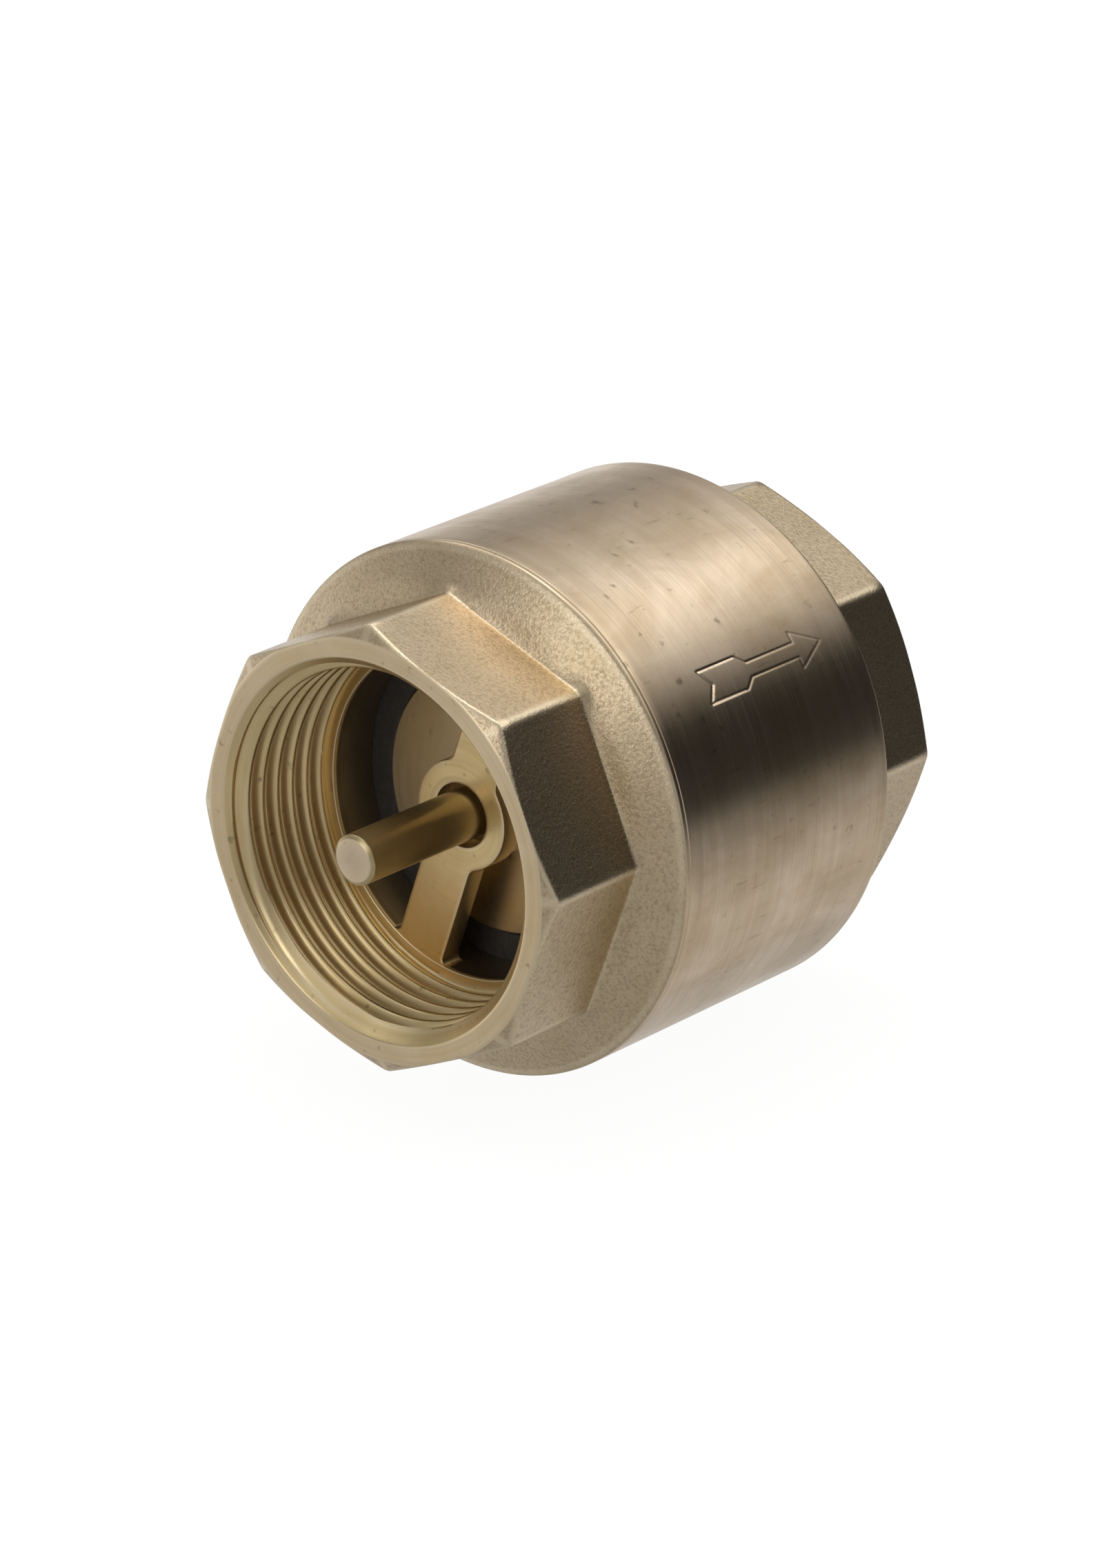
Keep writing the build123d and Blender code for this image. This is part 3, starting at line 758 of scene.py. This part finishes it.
def make_world():
    """Studio mirrored in the metal: bright overhead, white far sweep, dark on the camera's right."""
    world = bpy.data.worlds.new("studio")
    bpy.context.scene.world = world
    world.use_nodes = True
    tree = world.node_tree
    tree.nodes.clear()
    new, link = tree.nodes.new, tree.links.new

    def ramp(value, stops):
        """Level along a value from -1 to 1."""
        unit = new("ShaderNodeMath")
        unit.operation = "MULTIPLY_ADD"
        unit.inputs[1].default_value, unit.inputs[2].default_value = 0.5, 0.5
        link(value, unit.inputs[0])
        node = new("ShaderNodeValToRGB")
        link(unit.outputs[0], node.inputs[0])
        marks = node.color_ramp.elements
        while len(marks) < len(stops):
            marks.new(0.5)
        for mark, (at, level) in zip(marks, stops):
            mark.position, mark.color = at / 2 + 0.5, (*shade(STUDIO_TINT, level), 1)
        return node.outputs[0]

    def mixed(share, a, b):
        node = new("ShaderNodeMix")
        node.data_type = "RGBA"
        for value, socket in ((share, 0), (a, 6), (b, 7)):
            link(value, node.inputs[socket])
        return node.outputs[2]

    def toward(way, stops):
        """Share of a side of the studio, by how far the direction points its way."""
        node = new("ShaderNodeVectorMath")
        node.operation = "DOT_PRODUCT"
        link(place, node.inputs[0])
        node.inputs[1].default_value = way
        return ramp(node.outputs["Value"], stops)

    place = new("ShaderNodeTexCoord").outputs["Generated"]
    split = new("ShaderNodeSeparateXYZ")
    link(place, split.inputs[0])
    height = split.outputs[2]
    far = toward(FAR_WAY, [(0.30, 0.0), (0.65, 1.0)])
    near = toward(NEAR_WAY, [(0.25, 0.0), (0.55, 1.0)])
    level = mixed(far, ramp(height, LEFT_SIDE), ramp(height, FAR_SIDE))
    level = mixed(near, level, ramp(height, NEAR_SIDE))
    studio = new("ShaderNodeBackground")
    link(level, studio.inputs[0])
    white = new("ShaderNodeBackground")
    white.inputs[0].default_value = (1, 1, 1, 1)
    pick = new("ShaderNodeMixShader")
    link(new("ShaderNodeLightPath").outputs["Is Camera Ray"], pick.inputs[0])
    link(studio.outputs[0], pick.inputs[1])
    link(white.outputs[0], pick.inputs[2])
    link(pick.outputs[0], new("ShaderNodeOutputWorld").inputs[0])


# ======== build ========

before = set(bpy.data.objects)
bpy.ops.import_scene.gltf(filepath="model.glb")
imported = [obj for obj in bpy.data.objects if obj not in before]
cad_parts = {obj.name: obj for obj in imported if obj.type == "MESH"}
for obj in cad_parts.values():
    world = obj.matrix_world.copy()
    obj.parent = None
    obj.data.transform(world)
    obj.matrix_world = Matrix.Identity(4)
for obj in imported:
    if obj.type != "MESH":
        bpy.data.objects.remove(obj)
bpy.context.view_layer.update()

forged = blasted_brass()
barrel = turned_brass("barrel_brass", (0.87, 0.71, 0.535), (0.65, 0.50, 0.33),
                      line_mm=0.22, rough=0.22, scuffed=0.4)
face = turned_brass("face_brass", (0.84, 0.68, 0.45), (0.76, 0.59, 0.36),
                    line_mm=0.35, rough=0.34, across=True)
bored = turned_brass("bored_brass", (0.84, 0.67, 0.38), (0.76, 0.58, 0.30), line_mm=0.3, rough=0.28)
# painted shade: a dark copy of the brass for the hollows inside the valve
inner = turned_brass("painted_shade_brass", (0.25, 0.20, 0.13), (0.19, 0.15, 0.09), line_mm=0.3, rough=0.36)
web = turned_brass("web_brass", (0.97, 0.77, 0.43), (0.92, 0.69, 0.33),
                   line_mm=0.4, rough=0.34, across=True)
rod = turned_brass("rod_brass", (0.58, 0.44, 0.22), (0.46, 0.34, 0.16),
                   line_mm=0.25, rough=0.30, edge_colour=(0.6, 0.5, 0.3))
cut = turned_brass("cut_brass", (0.80, 0.65, 0.48), (0.72, 0.57, 0.41),
                   line_mm=0.3, rough=0.38, across=True)
plate = turned_brass("plate_brass", (0.97, 0.84, 0.60), (0.90, 0.75, 0.50),
                     line_mm=0.35, rough=0.38, across=True)
rubber = black_rubber()
wire = spring_steel()

halves = [forged, barrel, face, bored, inner, web]
make_inlet_cap(halves)
make_main_body(halves)
make_stem(rod, cut)
lathe("clamp_plate", CLAMP_PLATE, [plate], "seal_plate", radius=0.25)
lathe("rubber_seal", RUBBER_SEAL, [rubber], "seat_seal", radius=0.3)
lathe("backing_disc", BACKING_DISC, [plate], "poppet_disc", radius=0.2)
make_spring(wire)
for node, material in (("lock_nut", plate), ("body_seal_ring", rubber)):
    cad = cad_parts[node]
    cad.data.materials.clear()
    cad.data.materials.append(material)

make_floor()
make_world()
soft_box("top_box", (0.05, 0.10, 0.9), size=0.5, power=1.5, colour=(1.0, 0.99, 0.97))
soft_box("left_box", (-0.8, 0.1, 0.25), size=0.4, power=0.8, colour=STUDIO_TINT)
camera_at((-0.00426, -0.00225, 0.0001), azimuth=-49.1, elevation=21.7, distance=0.70, lens=148.3)
bpy.context.scene.view_settings.view_transform = "Standard"
